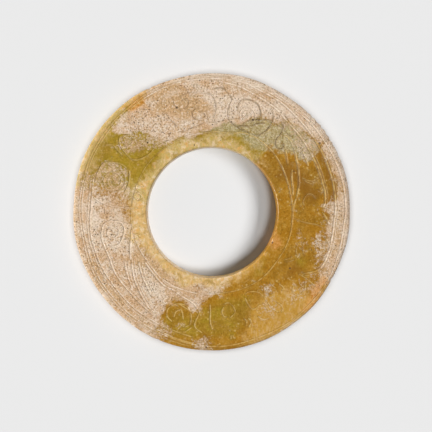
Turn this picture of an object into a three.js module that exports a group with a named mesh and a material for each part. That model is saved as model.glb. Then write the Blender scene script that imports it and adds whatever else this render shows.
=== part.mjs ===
// A jade bi disc: a flat ring of nephrite, hand-cut and rubbed down with sand, with a wide
// bore drilled through it and a fine incised line that borders each edge of the upper face.
//
// Units are millimetres and +Z is up. The disc lies on its plain back, so its underside is
// the plane Z = 0, and the origin is the centre of its footprint on that plane.
// Clock angles are in degrees, clockwise from +Y as seen from above.

import * as THREE from "three";

// Driving dimensions.
const OUTER_RADIUS = 55.1;
const BORE_RADIUS = 25.9;
const THICKNESS = 5.4;

// The bore was drilled from the face, so it narrows a little towards the back,
// and its centre sits slightly off the centre of the rim.
const BORE_TAPER = 0.35;
const BORE_CENTRE = { x: 0.15, y: -0.1 };

// How far each edge is rounded over: inwards along the face, and down the wall.
const RIM_TOP = { along: 0.9, down: 0.8 };
const RIM_BACK = { along: 0.7, down: 0.9 };
const BORE_TOP = { along: 0.5, down: 0.5 };
const BORE_BACK = { along: 0.4, down: 0.5 };
const ROUND_STEPS = 3;

// The rim isn't a true circle: these stretches are worn or were ground flatter.
// Each is centred on a clock angle and fades out over its half width.
const WORN_STRETCHES = [
  { at: 5, halfWidth: 16, depth: 0.2 },
  { at: 32, halfWidth: 22, depth: 0.6 },
  { at: 90, halfWidth: 16, depth: 0.3 },
  { at: 115, halfWidth: 20, depth: 0.55 },
  { at: 142, halfWidth: 16, depth: 0.2 },
  { at: 234, halfWidth: 34, depth: 0.42 },
  { at: 275, halfWidth: 18, depth: 0.4 },
  { at: 345, halfWidth: 22, depth: 0.5 },
];

// From about one o'clock to four the upper edge is rubbed down to a broad, low bevel.
const BROAD_BEVEL = { at: 62, halfWidth: 46, extra: 1.0 };

// The incised lines that border the decoration, as shares of the way from bore to rim.
const BORDER_LINES = [0.92, 0.2];
const LINE_WIDTH = 0.7;
const LINE_DEPTH = 0.25;

// One section of the ring each three degrees.
const SECTIONS = 120;

// 1 at the middle of a stretch, falling smoothly to 0 at its half width, round the clock.
function fade(clock, { at, halfWidth }) {
  const away = Math.abs(((clock - at + 540) % 360) - 180) / halfWidth;
  return away < 1 ? 0.5 + 0.5 * Math.cos(Math.PI * away) : 0;
}

// The radius of the rim at a clock angle.
function rimRadius(clock) {
  return WORN_STRETCHES.reduce((radius, worn) => radius - worn.depth * fade(clock, worn), OUTER_RADIUS);
}

// A quarter of an ellipse between two points of a section. It leaves the first point
// along the face or the wall, whichever the flag says, and meets the other at a right angle.
function roundOver(from, to, leavesAlongFace) {
  return Array.from({ length: ROUND_STEPS + 1 }, (_, i) => {
    const turn = (Math.PI / 2) * (i / ROUND_STEPS);
    const slow = 1 - Math.cos(turn);
    const fast = Math.sin(turn);
    const [r, z] = leavesAlongFace ? [fast, slow] : [slow, fast];
    return new THREE.Vector2(from.x + (to.x - from.x) * r, from.y + (to.y - from.y) * z);
  });
}

// The three points of a V-shaped line incised in the upper face.
function incisedLine(radius) {
  const half = LINE_WIDTH / 2;
  return [
    new THREE.Vector2(radius + half, THICKNESS),
    new THREE.Vector2(radius, THICKNESS - LINE_DEPTH),
    new THREE.Vector2(radius - half, THICKNESS),
  ];
}

// The closed section of the ring at a clock angle, as radius and height, going up the rim,
// in over the face, down the bore and back out along the underside.
function sectionAt(clock) {
  const rim = rimRadius(clock);
  const bevel = RIM_TOP.along + BROAD_BEVEL.extra * fade(clock, BROAD_BEVEL);
  const bore = BORE_RADIUS;
  const boreBack = BORE_RADIUS - BORE_TAPER;
  const point = (r, z) => new THREE.Vector2(r, z);
  return [
    ...roundOver(point(rim - RIM_BACK.along, 0), point(rim, RIM_BACK.down), true),
    ...roundOver(point(rim, THICKNESS - RIM_TOP.down), point(rim - bevel, THICKNESS), false),
    ...BORDER_LINES.flatMap((share) => incisedLine(bore + share * (rim - bore))),
    ...roundOver(point(bore + BORE_TOP.along, THICKNESS), point(bore, THICKNESS - BORE_TOP.down), true),
    ...roundOver(point(boreBack, BORE_BACK.down), point(boreBack + BORE_BACK.along, 0), false),
  ];
}

// How much a point of the section moves with the bore's centre: fully at the bore, not at the rim.
function boreShare(radius, rim) {
  return THREE.MathUtils.clamp((rim - radius) / (rim - BORE_RADIUS), 0, 1);
}

// The ring's surface: the sections joined into one closed skin, facing out.
function ringGeometry() {
  const positions = [];
  const index = [];
  const around = sectionAt(0).length;
  for (let s = 0; s < SECTIONS; s++) {
    const clock = (360 * s) / SECTIONS;
    const angle = THREE.MathUtils.degToRad(clock);
    const rim = rimRadius(clock);
    for (const { x: radius, y: height } of sectionAt(clock)) {
      const share = boreShare(radius, rim);
      positions.push(
        radius * Math.sin(angle) + share * BORE_CENTRE.x,
        radius * Math.cos(angle) + share * BORE_CENTRE.y,
        height,
      );
    }
    for (let k = 0; k < around; k++) {
      const here = s * around + k;
      const up = s * around + ((k + 1) % around);
      const next = ((s + 1) % SECTIONS) * around + k;
      const nextUp = ((s + 1) % SECTIONS) * around + ((k + 1) % around);
      index.push(here, up, next, up, nextUp, next);
    }
  }
  const geometry = new THREE.BufferGeometry();
  geometry.setAttribute("position", new THREE.Float32BufferAttribute(positions, 3));
  geometry.setIndex(index);
  geometry.computeVertexNormals();
  return geometry;
}

// The footprint's centre goes to the origin, so the worn stretches don't shift the frame.
function centredOnFootprint(geometry) {
  geometry.computeBoundingBox();
  const centre = geometry.boundingBox.getCenter(new THREE.Vector3());
  return geometry.translate(-centre.x, -centre.y, 0);
}

const jade = new THREE.MeshStandardMaterial({ color: 0xb08f3c, roughness: 0.35, metalness: 0 });

const disc = new THREE.Mesh(centredOnFootprint(ringGeometry()), jade);
disc.name = "jade_disc";

const part = new THREE.Group();
part.add(disc);

export default part;
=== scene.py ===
# %% [markdown]
# # A jade bi disc
#
# A bi is a flat ring of nephrite. This one was sawn as a slab, drilled and ground by hand
# with wet sand, and its face was incised with scrolls, spirals and long flowing lines. Then
# it lay in the ground for a very long time: parts of the olive and amber stone have turned
# to an opaque, speckled buff, and iron has stained a few places on the rim russet.
#
# The script builds one closed surface for the stone, writes down on its points where each
# kind of stone lies, and lets one procedural material read those numbers.

import math

import bpy
import numpy as np
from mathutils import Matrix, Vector
from mathutils.geometry import delaunay_2d_cdt


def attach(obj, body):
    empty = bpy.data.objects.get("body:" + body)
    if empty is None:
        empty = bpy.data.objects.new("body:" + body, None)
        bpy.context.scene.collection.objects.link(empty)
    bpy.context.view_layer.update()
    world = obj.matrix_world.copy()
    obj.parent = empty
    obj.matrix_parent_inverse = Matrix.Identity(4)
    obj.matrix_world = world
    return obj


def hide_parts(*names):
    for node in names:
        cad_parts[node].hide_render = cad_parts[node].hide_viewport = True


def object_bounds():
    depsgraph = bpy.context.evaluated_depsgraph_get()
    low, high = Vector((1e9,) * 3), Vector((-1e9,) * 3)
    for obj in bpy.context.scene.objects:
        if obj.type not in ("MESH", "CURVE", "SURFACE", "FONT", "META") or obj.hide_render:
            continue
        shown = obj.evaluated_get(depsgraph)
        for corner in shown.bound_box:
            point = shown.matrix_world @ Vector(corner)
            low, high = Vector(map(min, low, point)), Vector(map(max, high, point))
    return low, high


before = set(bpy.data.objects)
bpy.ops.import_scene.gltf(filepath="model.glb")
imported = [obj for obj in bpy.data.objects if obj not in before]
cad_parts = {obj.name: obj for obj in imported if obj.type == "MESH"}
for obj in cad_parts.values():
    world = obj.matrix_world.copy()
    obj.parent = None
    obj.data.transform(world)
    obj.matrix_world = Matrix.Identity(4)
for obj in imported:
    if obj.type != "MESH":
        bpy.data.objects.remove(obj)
cad_low, cad_high = [list(corner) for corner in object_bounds()]
MM = 0.001
THICKNESS = cad_high[2] - cad_low[2]
print("the solid's box in millimetres:", [round((b - a) / MM, 2) for a, b in zip(cad_low, cad_high)])

# %% [markdown]
# ## Where things are on the disc
#
# A round object is easiest to describe by the clock. A place on the face is a clock angle in
# degrees and a share: 0 at the edge of the bore and 1 at the rim. The same two numbers could
# be x and y, but then every line that runs round the ring would need many more points.

# %% Clock and share to plan coordinates
# The radii that the shares 0 and 1 stand for, and the middle that the clock turns about.
SHARE_0_RADIUS = 25.96 * MM
SHARE_1_RADIUS = 54.68 * MM
PATTERN_CENTRE = np.array([0.11, -0.15]) * MM


def on_face(clock, share):
    """Plan position of a clock angle and a share: the pattern's centre plus the radius, which
    runs evenly from bore to rim with the share, times the sine and cosine of the angle."""
    angle = np.radians(np.asarray(clock, float))
    radius = SHARE_0_RADIUS + np.asarray(share, float) * (SHARE_1_RADIUS - SHARE_0_RADIUS)
    return PATTERN_CENTRE + np.stack([radius * np.sin(angle), radius * np.cos(angle)], axis=-1)


def clock_of(xy):
    """Clock angle in degrees of each plan position, seen from the origin."""
    return np.degrees(np.arctan2(xy[:, 0], xy[:, 1])) % 360


def clock_and_share(xy):
    """The reverse: the clock angle and the share of each plan position."""
    away = xy - PATTERN_CENTRE
    radius = np.hypot(*away.T)
    return clock_of(away), (radius - SHARE_0_RADIUS) / (SHARE_1_RADIUS - SHARE_0_RADIUS)


def degrees_off(clock, at):
    """How many degrees clock angles are from one of them, the short way round."""
    return np.abs((clock - at + 180) % 360 - 180)


def smoothstep(low, high, value):
    """0 below low, 1 above high, and an S-shaped rise between."""
    t = np.clip((value - low) / (high - low), 0, 1)
    return t * t * (3 - 2 * t)


# %% [markdown]
# ## The outline
#
# The rim was trued by eye, so it is a little out of round, and the solid already has that
# shape. Reading the outline back from the solid's own corners keeps the visible stone on it.
# The small nicks of long wear are too fine for the solid, so they are cut here, each
# a shallow bowl in the rim's radius.

# %% Read the rim and the bore from the solid
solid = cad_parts["jade_disc"].data
corners = np.empty(len(solid.vertices) * 3)
solid.vertices.foreach_get("co", corners)
corners = corners.reshape(-1, 3)

from_middle = np.hypot(corners[:, 0], corners[:, 1])
BORE_EDGE_WIDTH = 1.2 * MM
bore_corners = corners[from_middle < from_middle.min() + BORE_EDGE_WIDTH]
BORE_CENTRE = (bore_corners[:, :2].min(axis=0) + bore_corners[:, :2].max(axis=0)) / 2
# Between the bore's wall and the rim's.
MIDDLE_OF_RING = 40 * MM
COLUMNS = 720
column_clock = np.arange(COLUMNS) * 360 / COLUMNS
from_bore_centre = np.hypot(*(corners[:, :2] - BORE_CENTRE).T)
on_wall = np.abs(corners[:, 2] - THICKNESS / 2) < 0.45 * THICKNESS


def radius_round(points, harmonics):
    """The radius of a ring of points at each column, as a smooth closed curve: the points'
    radii are read round the clock, and only their first harmonics are kept."""
    away = points[:, :2] - BORE_CENTRE
    clock = clock_of(away)
    order = np.argsort(clock)
    radius = np.interp(column_clock, clock[order], np.hypot(*away[order].T), period=360)
    waves = np.fft.rfft(radius)
    waves[harmonics:] = 0
    return np.fft.irfft(waves, COLUMNS)


# The visible rim stays a hair inside the solid's.
RIM_SLACK = 0.02 * MM
rim_radius = radius_round(corners[on_wall & (from_bore_centre > MIDDLE_OF_RING)], 24) - RIM_SLACK
near_bore = from_bore_centre < MIDDLE_OF_RING
bore_front = from_bore_centre[on_wall & near_bore & (corners[:, 2] > THICKNESS / 2)].min()
bore_back = from_bore_centre[on_wall & near_bore & (corners[:, 2] < THICKNESS / 2)].min()
# Nicks in the rim: clock, half width in degrees, and depth in millimetres.
NICKS = [
    (43.8, 0.9, .22), (46.4, 1.0, .38), (49.2, 1.3, .28), (52.3, 1.0, .42), (55.6, 1.2, .30),
    (58.4, 0.9, .40),
    (61.0, 1.1, .22), (65.8, 1.4, .20), (119.2, 1.0, .25), (203.0, 1.1, .22), (333.2, 1.2, .30),
    (336.5, 0.9, .18),
]
for at, half, deep in NICKS:
    off = degrees_off(column_clock, at) / half
    rim_radius -= deep * MM * np.clip(1 - off**2, 0, 1) ** 2
print("rim radius in mm:", (rim_radius.min() / MM).round(2), "to", (rim_radius.max() / MM).round(2))
print("bore radius in mm:", round(bore_front / MM, 2), "in front,", round(bore_back / MM, 2), "at the back")

# %% [markdown]
# ## The incised lines
#
# The lines were cut with a small turned disc or a held point, and sand. Each is a shallow V
# about 0.7 mm wide. They could be a bump in the material, but then no edge or highlight
# would break on them, so they are cut in the mesh. A line is a few places on the face with
# a smooth curve through them, and a spiral comes from a formula.
#
# The pattern is the flowing one that such discs share: a line along each edge, curled claws
# and manes, spirals for the joints of the limbs, and bundles of long curved lines. Some of
# the long lines have a finer one beside them, and all were rubbed down unevenly since, so a
# line's depth wanders along it.

# %% Curves for the lines
LINE_STEP = 0.32 * MM


def resample(points, step):
    """Points at even steps along a chain of points, interpolated along its length."""
    lengths = np.r_[0, np.cumsum(np.hypot(*np.diff(points, axis=0).T))]
    at = np.linspace(0, lengths[-1], max(2, int(np.ceil(lengths[-1] / step)) + 1))
    return np.stack([np.interp(at, lengths, points[:, k]) for k in (0, 1)], axis=-1)


def curve_through(places, closed=False):
    """A smooth curve through clock and share places: the Catmull-Rom cubic, whose slope at each
    place is half the step from the place before it to the place after it."""
    knots = on_face(*np.array(places, float).T)
    if closed:
        knots = np.concatenate([knots[-1:], knots, knots[:2]])
    else:
        knots = np.concatenate([2 * knots[:1] - knots[1:2], knots, 2 * knots[-1:] - knots[-2:-1]])
    before, here, after, beyond = (knots[k : len(knots) - 3 + k, None] for k in range(4))
    t = np.linspace(0, 1, 16, endpoint=False)[None, :, None]
    bends = (
        2 * here
        + (after - before) * t
        + (2 * before - 5 * here + 4 * after - beyond) * t**2
        + (3 * here - before - 3 * after + beyond) * t**3
    ) / 2
    return resample(np.concatenate([bends.reshape(-1, 2), knots[-2:-1]]), LINE_STEP)


def spiral(clock, share, outer, inner, start, turns):
    """A spiral round a place: the radius shrinks evenly from outer to inner, in millimetres,
    while the angle turns from its start, in degrees, through a number of turns."""
    t = np.linspace(0, 1, 200)
    radius = (outer + (inner - outer) * t) * MM
    angle = np.radians(start) + 2 * np.pi * turns * t
    winding = np.stack([radius * np.cos(angle), radius * np.sin(angle)], axis=-1)
    return resample(on_face(clock, share) + winding, LINE_STEP)


# %% The lines, as clock and share places
BORDERS = [
    [(0, .94), (12, .935), (25, .925), (45, .922), (60, .928), (72, .938), (82, .938), (92, .925),
     (110, .93), (125, .945), (145, .945), (165, .935), (180, .94), (195, .918), (210, .895),
     (225, .89), (245, .89), (270, .884), (290, .893), (305, .90), (318, .905), (332, .925), (345, .94)],
    [(0, .21), (12, .22), (23, .285), (32, .295), (42, .285), (50, .268), (58, .245), (66, .225),
     (75, .21), (90, .208), (110, .215), (130, .212), (145, .228), (160, .218), (175, .21),
     (184, .215), (195, .225), (210, .235), (225, .22), (250, .21), (275, .205), (300, .2), (320, .2),
     (340, .205)],
]

UPPER_RIGHT = [
    [(3, .905), (12, .87), (20, .82), (26, .795), (31, .775), (34, .76)],
    [(16, .925), (30, .885), (40, .855), (50, .835), (57, .822), (64, .82), (76, .812), (87, .795),
     (93, .782), (104, .785), (112, .79), (117, .77), (120.5, .70), (123.5, .60)],
    [(35, .75), (41, .715), (50, .695), (59, .682), (67, .675), (78, .675), (84, .66), (87.5, .625)],
    [(90, .625), (92.5, .67), (95.5, .72)],
    [(41.5, .515), (44, .555), (47, .56), (50, .54), (54, .505), (58, .467), (62, .44), (68, .387),
     (73, .343), (79, .283), (84.5, .228), (90, .209)],
    [(49.5, .425), (53, .38), (57, .34)],
    [(55.5, .60), (60, .585), (64, .57)],
    [(61.7, .347), (66.4, .293), (73.5, .257), (77.5, .238)],
]
HOOK_AND_OVAL = [
    [(1.8, .805), (5.1, .81), (8.1, .75), (10.4, .665), (9.6, .60), (9.3, .50), (10.6, .40), (13, .36),
     (17, .325), (23, .31), (28, .31), (31, .34), (33.2, .43), (33.8, .53), (33.4, .61), (32, .69),
     (30.5, .72)],
    [(16, .325), (20, .37), (24, .395), (27, .47), (30, .52)],
    [(19.5, .405), (23, .48), (27, .53), (32, .6)],
    [(14, .56), (14.3, .66), (16.3, .715), (19.6, .732), (23, .71), (25.8, .64), (26.8, .58)],
    [(36, .78), (39.2, .748), (40.8, .715)],
    [(41, .70), (38, .665), (40, .62), (41.2, .52), (41.3, .44), (43, .38), (45.5, .365), (47.5, .40),
     (47, .45), (45, .455)],
]
RIGHT = [
    [(68.5, .42), (71.5, .50), (72, .57), (71, .64)],
    [(70.3, .44), (72.9, .50), (73.3, .58), (72.4, .65)],
    [(82.5, .54), (79.8, .506), (78.7, .451), (80, .40), (82.8, .362), (86, .372)],
    [(93.6, .211), (95.7, .387), (96.4, .56), (98.4, .683), (100, .77), (103, .795)],
    [(101.9, .682), (104.3, .754), (106.9, .79), (109.5, .772), (111.8, .753)],
    [(105.5, .577), (106.2, .63), (108.3, .666), (110.9, .669), (112.8, .628)],
    [(107, .585), (109.5, .62), (111.3, .595)],
    [(108.3, .355), (113.5, .362), (118, .434)],
    [(106.6, .429), (110.9, .434), (114.7, .502)],
    [(119.5, .40), (121.5, .36), (124, .30)],
    [(119, .35), (121, .32), (123, .28)],
]
LOWER_RIGHT = [
    [(126.5, .685), (128.1, .738), (130.6, .76), (133.1, .751), (134.4, .69), (133.5, .63), (130.9, .604)],
    [(125, .55), (124.8, .65), (125, .75), (125.3, .84)],
    [(136.6, .435), (136.1, .522), (138, .534)],
    [(143.9, .333), (142.7, .456)], [(140.3, .343), (139.8, .459)], [(142, .32), (144.5, .42)],
    [(158, .308), (154.3, .298), (149.9, .356), (148.4, .431), (148, .55), (147.5, .656), (146.1, .747)],
    [(158.7, .346), (158.4, .438), (157, .54), (152.6, .531), (150, .552)],
    [(149.5, .66), (150.5, .53)],
    [(145.2, .77), (143.5, .74), (143, .68), (144, .62)],
    [(152, .75), (154.5, .72), (156, .66)],
]
BOTTOM = [
    [(161.2, .631), (160.1, .67), (160.8, .722), (162, .74)],
    [(163.2, .614), (162.2, .666), (163.1, .70)],
    [(172.4, .37), (170.6, .355), (168.8, .368), (166.9, .433), (167, .503), (169.1, .548), (170.3, .57)],
    [(172.7, .395), (174.2, .46), (173.4, .53), (171.3, .55)],
    [(170.2, .804), (170.4, .859)], [(171.2, .804), (171.4, .859)],
    [(181.2, .357), (181.1, .467), (181.1, .563), (180.5, .645), (179.6, .705)],
    [(184.5, .76), (187, .72), (188.8, .67), (188.6, .6), (187.6, .52), (187, .45)],
    [(190, .70), (193, .78), (196, .80)],
    [(200, .695), (203, .66), (204.6, .6), (204.4, .53), (202, .455), (198.5, .42), (195, .43),
     (192.6, .48), (191.4, .56), (191.2, .66), (193.5, .72)],
    [(195, .63), (196.6, .53), (198.3, .50), (200.2, .56), (200, .63)],
    [(191, .49), (195, .46), (200, .43)],
    [(207, .43), (208.6, .435), (209, .48), (207.4, .50), (206.4, .46)],
    [(189.1, .832), (197.3, .805), (205, .80)],
    [(188, .92), (197, .895), (206, .875)],
]
LOWER_LEFT = [
    [(205, .80), (215, .79), (224, .785), (240, .785), (255, .788), (264, .78), (270, .765), (277, .76),
     (286, .79)],
    [(266, .47), (264.6, .57), (261.7, .623), (257, .65), (252.7, .645), (248, .638), (237, .667),
     (223, .675), (217, .69), (210, .72)],
    [(241, .465), (238, .50), (234.9, .529), (230.4, .572), (226, .62)],
    [(241, .36), (237, .41), (230, .495), (224, .557), (218.5, .617), (214, .66)],
    [(236, .31), (233, .34), (227, .40), (221.6, .446), (217, .50)],
    [(234, .24), (226.7, .252), (218.5, .28), (212.6, .295), (207, .285), (199, .32), (192.2, .363),
     (188.5, .43)],
    [(258.2, .226), (254.9, .248), (247, .31), (240.2, .39)],
    [(251.8, .28), (247, .32), (241.8, .37)],
]
LEFT = [
    [(256, .63), (260, .64), (263, .58), (265, .5), (264.8, .383), (262.5, .332), (258.7, .325),
     (255.2, .36), (252, .42), (251, .50), (252, .57)],
    [(262, .44), (260, .40), (257, .42), (255.5, .49), (256.5, .55), (259.5, .56), (261.5, .52),
     (260.5, .48), (258.8, .49)],
    [(250.5, .17), (252, .21), (254, .19), (253.5, .15), (251.5, .145)],
    [(273.8, .12), (273.6, .3), (273.8, .45), (274.8, .567), (276.2, .66), (278.3, .75), (282.3, .754),
     (286.4, .756), (290.5, .757), (294.7, .734), (296.6, .66), (297.8, .58), (298.3, .5), (297.8, .42)],
    [(295, .66), (296.4, .58), (296.3, .48)],
    [(283, .33), (288, .31), (293, .33), (297.5, .38)],
    [(280, .12), (281.5, .18), (284, .185), (285, .13), (283, .09), (281, .10)],
    [(286.6, .09), (286.8, .15), (288.9, .20), (291, .18), (291.4, .11)],
]
UPPER_LEFT = [
    [(309.6, .744), (307.1, .688), (305.7, .624), (304.4, .505), (304, .42), (306.5, .34), (312, .285),
     (316.4, .28), (320.5, .31), (322.3, .375)],
    [(302.5, .83), (304.4, .76), (303.6, .66), (302.6, .56)],
    [(308, .63), (308.5, .575), (310.5, .553), (312.7, .57), (313.6, .63), (312, .69), (309.8, .69)],
    [(315, .41), (317, .385), (319, .40), (319.3, .43), (317.3, .44)],
    [(318.5, .30), (322, .275), (328, .25), (333, .24)],
]
TOP = [
    [(334.6, .63), (335.4, .595), (336.6, .491), (338.3, .375)],
    [(341.2, .73), (341.3, .66), (342.2, .60), (344.6, .565), (347, .59), (348.5, .64), (347.8, .69),
     (345.4, .69)],
    [(345, .75), (348.8, .768), (352.7, .757), (358, .74), (0.5, .70), (2, .62), (2.6, .54), (2.2, .46),
     (1.2, .40)],
    [(352, .55), (349.6, .51), (349, .45), (351, .40), (354, .39), (356.2, .43), (355.6, .48),
     (353.4, .485)],
    [(352, .79), (352, .865)], [(353.4, .79), (353.4, .865)],
    [(356.6, .5), (357.8, .44), (357.6, .38)],
]
CRACKS = [
    [(2, .33), (6, .36), (10, .40), (15, .435), (18, .48), (21, .525), (25, .545), (28, .56),
     (32, .575), (36, .60),
     (40, .61), (44, .60), (47, .62)],
    [(338, .30), (342, .27), (346, .29), (350, .30), (355, .335), (359, .34), (3, .35)],
]
SPIRALS = [
    spiral(19.6, .515, 3.6, 0.5, 300, 2.4),
    spiral(288, .52, 5.0, 0.6, 60, -2.6),
]

# %% Gather the lines
# Width and depth are in millimetres. The tone is 1 where pale dust fills a line and -1 where
# dark earth does.
GROUPS = [
    (BORDERS, 0.80, 0.24, 0.7), (UPPER_RIGHT, 1.00, 0.30, 0.9), (HOOK_AND_OVAL, 0.90, 0.30, -0.8),
    (RIGHT, 0.70, 0.18, 0.5), (LOWER_RIGHT, 0.70, 0.18, 0.8), (BOTTOM, 0.75, 0.20, 0.8),
    (LOWER_LEFT, 0.90, 0.32, 0.8), (LEFT, 0.85, 0.30, 0.5), (UPPER_LEFT, 0.80, 0.24, 0.3),
    (TOP, 0.85, 0.30, -0.5), (SPIRALS, 0.70, 0.22, 0.3), (CRACKS, 0.55, 0.14, -0.7),
]
# Long lines that have a finer one beside them, and the gap between the two in millimetres.
DOUBLED = [(UPPER_RIGHT[:3], 0.95), (LOWER_LEFT[:6], 1.05), (BORDERS[:1], 1.0)]
# How much is left of the two border lines, as clock and share of the depth.
BORDERS_LEFT = [
    [(0, .7), (30, 1), (90, 1), (120, .6), (150, .6), (180, .8), (210, 1), (260, 1), (285, .6), (330, .55)],
    [(0, .45), (25, .9), (50, 1), (95, 1), (115, .55), (150, .4), (180, .5), (215, .8), (262, .6),
     (285, .3), (335, .35)],
]


def left_of(path, stops=None):
    """How much of a cut is left at each place of a line: slow sines of the place, because the
    face was rubbed down unevenly after it was cut, and for a border also the stops' values."""
    x, y = path.T / MM
    left = 0.8 + 0.2 * np.sin(x / 3.7 + 1.4 * np.sin(y / 5.3)) * np.cos(y / 4.1 - 0.8 * np.sin(x / 6.1))
    if stops:
        left = left * np.interp(clock_and_share(path)[0], *np.array(stops, float).T, period=360)
    return left


def across(path):
    """The direction square to a line at each of its places, as steps of one metre."""
    heading = np.gradient(path, axis=0)
    heading /= np.maximum(np.hypot(*heading.T), 1e-9)[:, None]
    return np.stack([-heading[:, 1], heading[:, 0]], axis=-1)


# The finer lines' half width and depth in millimetres, and their tone.
FINE_HALF, FINE_DEPTH, FINE_TONE = 0.28, 0.16, 0.6
lines = []
for places_of, width, depth, tone in GROUPS:
    for number, places in enumerate(places_of):
        path = places if isinstance(places, np.ndarray) else curve_through(places, places_of is BORDERS)
        left = left_of(path, BORDERS_LEFT[number] if places_of is BORDERS else None)
        lines.append((path, width / 2 * MM, depth * MM * left, tone))
for doubled, gap in DOUBLED:
    for places in doubled:
        path = curve_through(places, doubled[0] is BORDERS[0])
        path = path + gap * MM * across(path)
        lines.append((path, FINE_HALF * MM, FINE_DEPTH * MM * left_of(path), FINE_TONE))
print(len(lines), "incised lines,", round(sum(len(path) for path, *_ in lines) * LINE_STEP, 2), "m in all")


# %% The depth of the lines at any place
# Lines are looked for only in a place's own sector of the clock and the two beside it.
SECTORS = 72


def line_pieces():
    """Every short straight piece of every line, as arrays: its start, its run, the line's half
    width, depth and tone, and how far its end is faded, so that a cut starts and ends shallow."""
    starts, runs, sizes = [], [], []
    for path, half, depth, tone in lines:
        closed = np.hypot(*(path[0] - path[-1])) < 0.5 * MM
        along = np.arange(len(path) - 1)
        ends = np.minimum(along, along[::-1]) * LINE_STEP
        fade = np.ones(len(along)) if closed else smoothstep(-0.6 * MM, 1.2 * MM, ends)
        starts.append(path[:-1])
        runs.append(np.diff(path, axis=0))
        sizes.append(np.stack([half + 0 * fade, depth[:-1] * fade, tone + 0 * fade], axis=-1))
    return np.concatenate(starts), np.concatenate(runs), np.concatenate(sizes)


def gaps_to(xy, start, run):
    """Distance of each plan position, down, from each straight piece, across."""
    away = xy[:, None] - start[None]
    along = np.clip((away * run).sum(-1) / (run**2).sum(-1), 0, 1)
    return np.hypot(*np.moveaxis(away - along[..., None] * run, -1, 0))


def incised_at(xy):
    """Depth cut at each plan position, how far into a line it is from 0 to 1, and the line's
    tone. The cut is a V with a rounded floor: its depth falls off with 1 minus the squared
    distance from the line over the line's half width, squared. The deepest line there counts."""
    start, run, size = line_pieces()
    depth, inside, tone = np.zeros(len(xy)), np.zeros(len(xy)), np.zeros(len(xy))
    sector_of_line = (clock_of(start) // (360 / SECTORS)).astype(int)
    sector_of_point = (clock_of(xy) // (360 / SECTORS)).astype(int)
    for sector in range(SECTORS):
        here = np.flatnonzero(sector_of_point == sector)
        near = np.flatnonzero((sector_of_line - sector + 1) % SECTORS <= 2)
        if len(here) == 0 or len(near) == 0:
            continue
        share = np.clip(1 - (gaps_to(xy[here], start[near], run[near]) / size[near, 0]) ** 2, 0, 1) ** 2
        cut = share * size[near, 1]
        best = cut.argmax(axis=1)
        rows = np.arange(len(here))
        depth[here] = cut[rows, best]
        inside[here] = share[rows, best] * smoothstep(0, 0.6, size[near, 1][best] / (0.2 * MM))
        tone[here] = size[near, 2][best]
    return depth, inside, tone


# %% [markdown]
# ## Pits and chips
#
# Where soft grains have dropped out, the altered stone is pitted. A few pits are large
# enough to see one by one, and the rest are strewn at random over the altered zones.

# %% Pits
# Clock, share, and radius in millimetres.
LARGE_PITS = [
    (23.7, .49, .50), (25.3, .52, .28), (26.8, .525, .34), (12, .375, .38), (6.8, .38, .28),
    (354.8, .92, .38), (334.3, .805, .36), (331.3, .61, .38), (328.9, .39, .34), (348.2, .35, .32),
    (345.5, .06, .36), (319.5, .74, .34), (321.2, .79, .30), (334.3, .51, .26), (341.6, .62, .55),
    (125.3, .415, .42), (116, .02, .55), (317.6, .405, .42), (11.5, .70, .26), (4.5, .36, .3),
    (0.4, .31, .3), (57, .86, .45), (63, .36, .3), (110.3, .56, .25), (207, .61, .3), (232.5, .72, .3),
    (213.5, .74, .35), (250.5, .83, .32), (258, .50, .3), (182.5, .95, .4), (104.7, .86, .32),
    (140, .5, .2), (90.5, .76, .34), (252, .74, .3), (246, .80, .26), (224, .86, .26),
]
random = np.random.default_rng(seed=7)


# %% [markdown]
# ## Zones of the stone
#
# Weathering soaks into jade along its weaker layers, so the altered stone has sharp but
# ragged borders. Each zone is drawn as a closed outline of clock and share places. A point's
# place in a zone is its distance to that outline, so the border can be as soft as it has to
# be, and the material roughens it with noise. The shares run a little past 0 and 1, so that
# a zone at an edge takes in the wall too.

# %% Zones
# The opaque, altered stone.
PALE = [
    [(308, .86), (309, .80), (311, .76), (315.4, .636), (318, .557), (321.5, .426), (325.7, .30),
     (332.6, .20),
     (342.4, .19), (355, .215), (4, .283), (9, .309), (15.7, .368), (22.6, .453), (26, .536), (31.9, .60),
     (36.5, .66), (42, .74), (48, .80), (54, .84), (60, .85), (65, .84), (70, .86), (76, .87),
     (82, .86), (83.6, .79), (84, .72), (87, .68), (90.5, .666), (93.3, .70),
     (97.5, .70), (101.6, .70), (105, .71), (110, .74), (113.5, .76), (118, .77),
     (124, .82), (129, .88), (126, .93), (121, .97), (119, 1.2), (100, 1.2), (80, 1.2), (60, 1.2),
     (40, 1.2), (20, 1.2),
     (0, 1.2), (345, 1.2), (334, 1.2), (331, .93), (328, .85), (323, .90), (319, .93), (313, .90)],
    [(207, 1.2), (206, .85), (206.4, .73), (205.4, .6), (206, .49), (203, .40), (198, .39), (192.8, .45),
     (187, .47), (185.6, .363), (184, .29), (180, .25), (174, .20), (168, .14), (170, .10), (180, .11),
     (190, .125),
     (206, .17), (216, .13), (225, .12), (236, .14), (245, .21), (255, .25), (265, .24), (279, .26),
     (281, .50), (280, .70), (281, .80), (282, .90), (282, 1.2), (265, 1.2), (250, 1.2), (235, 1.2),
     (220, 1.2)],
]
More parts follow.
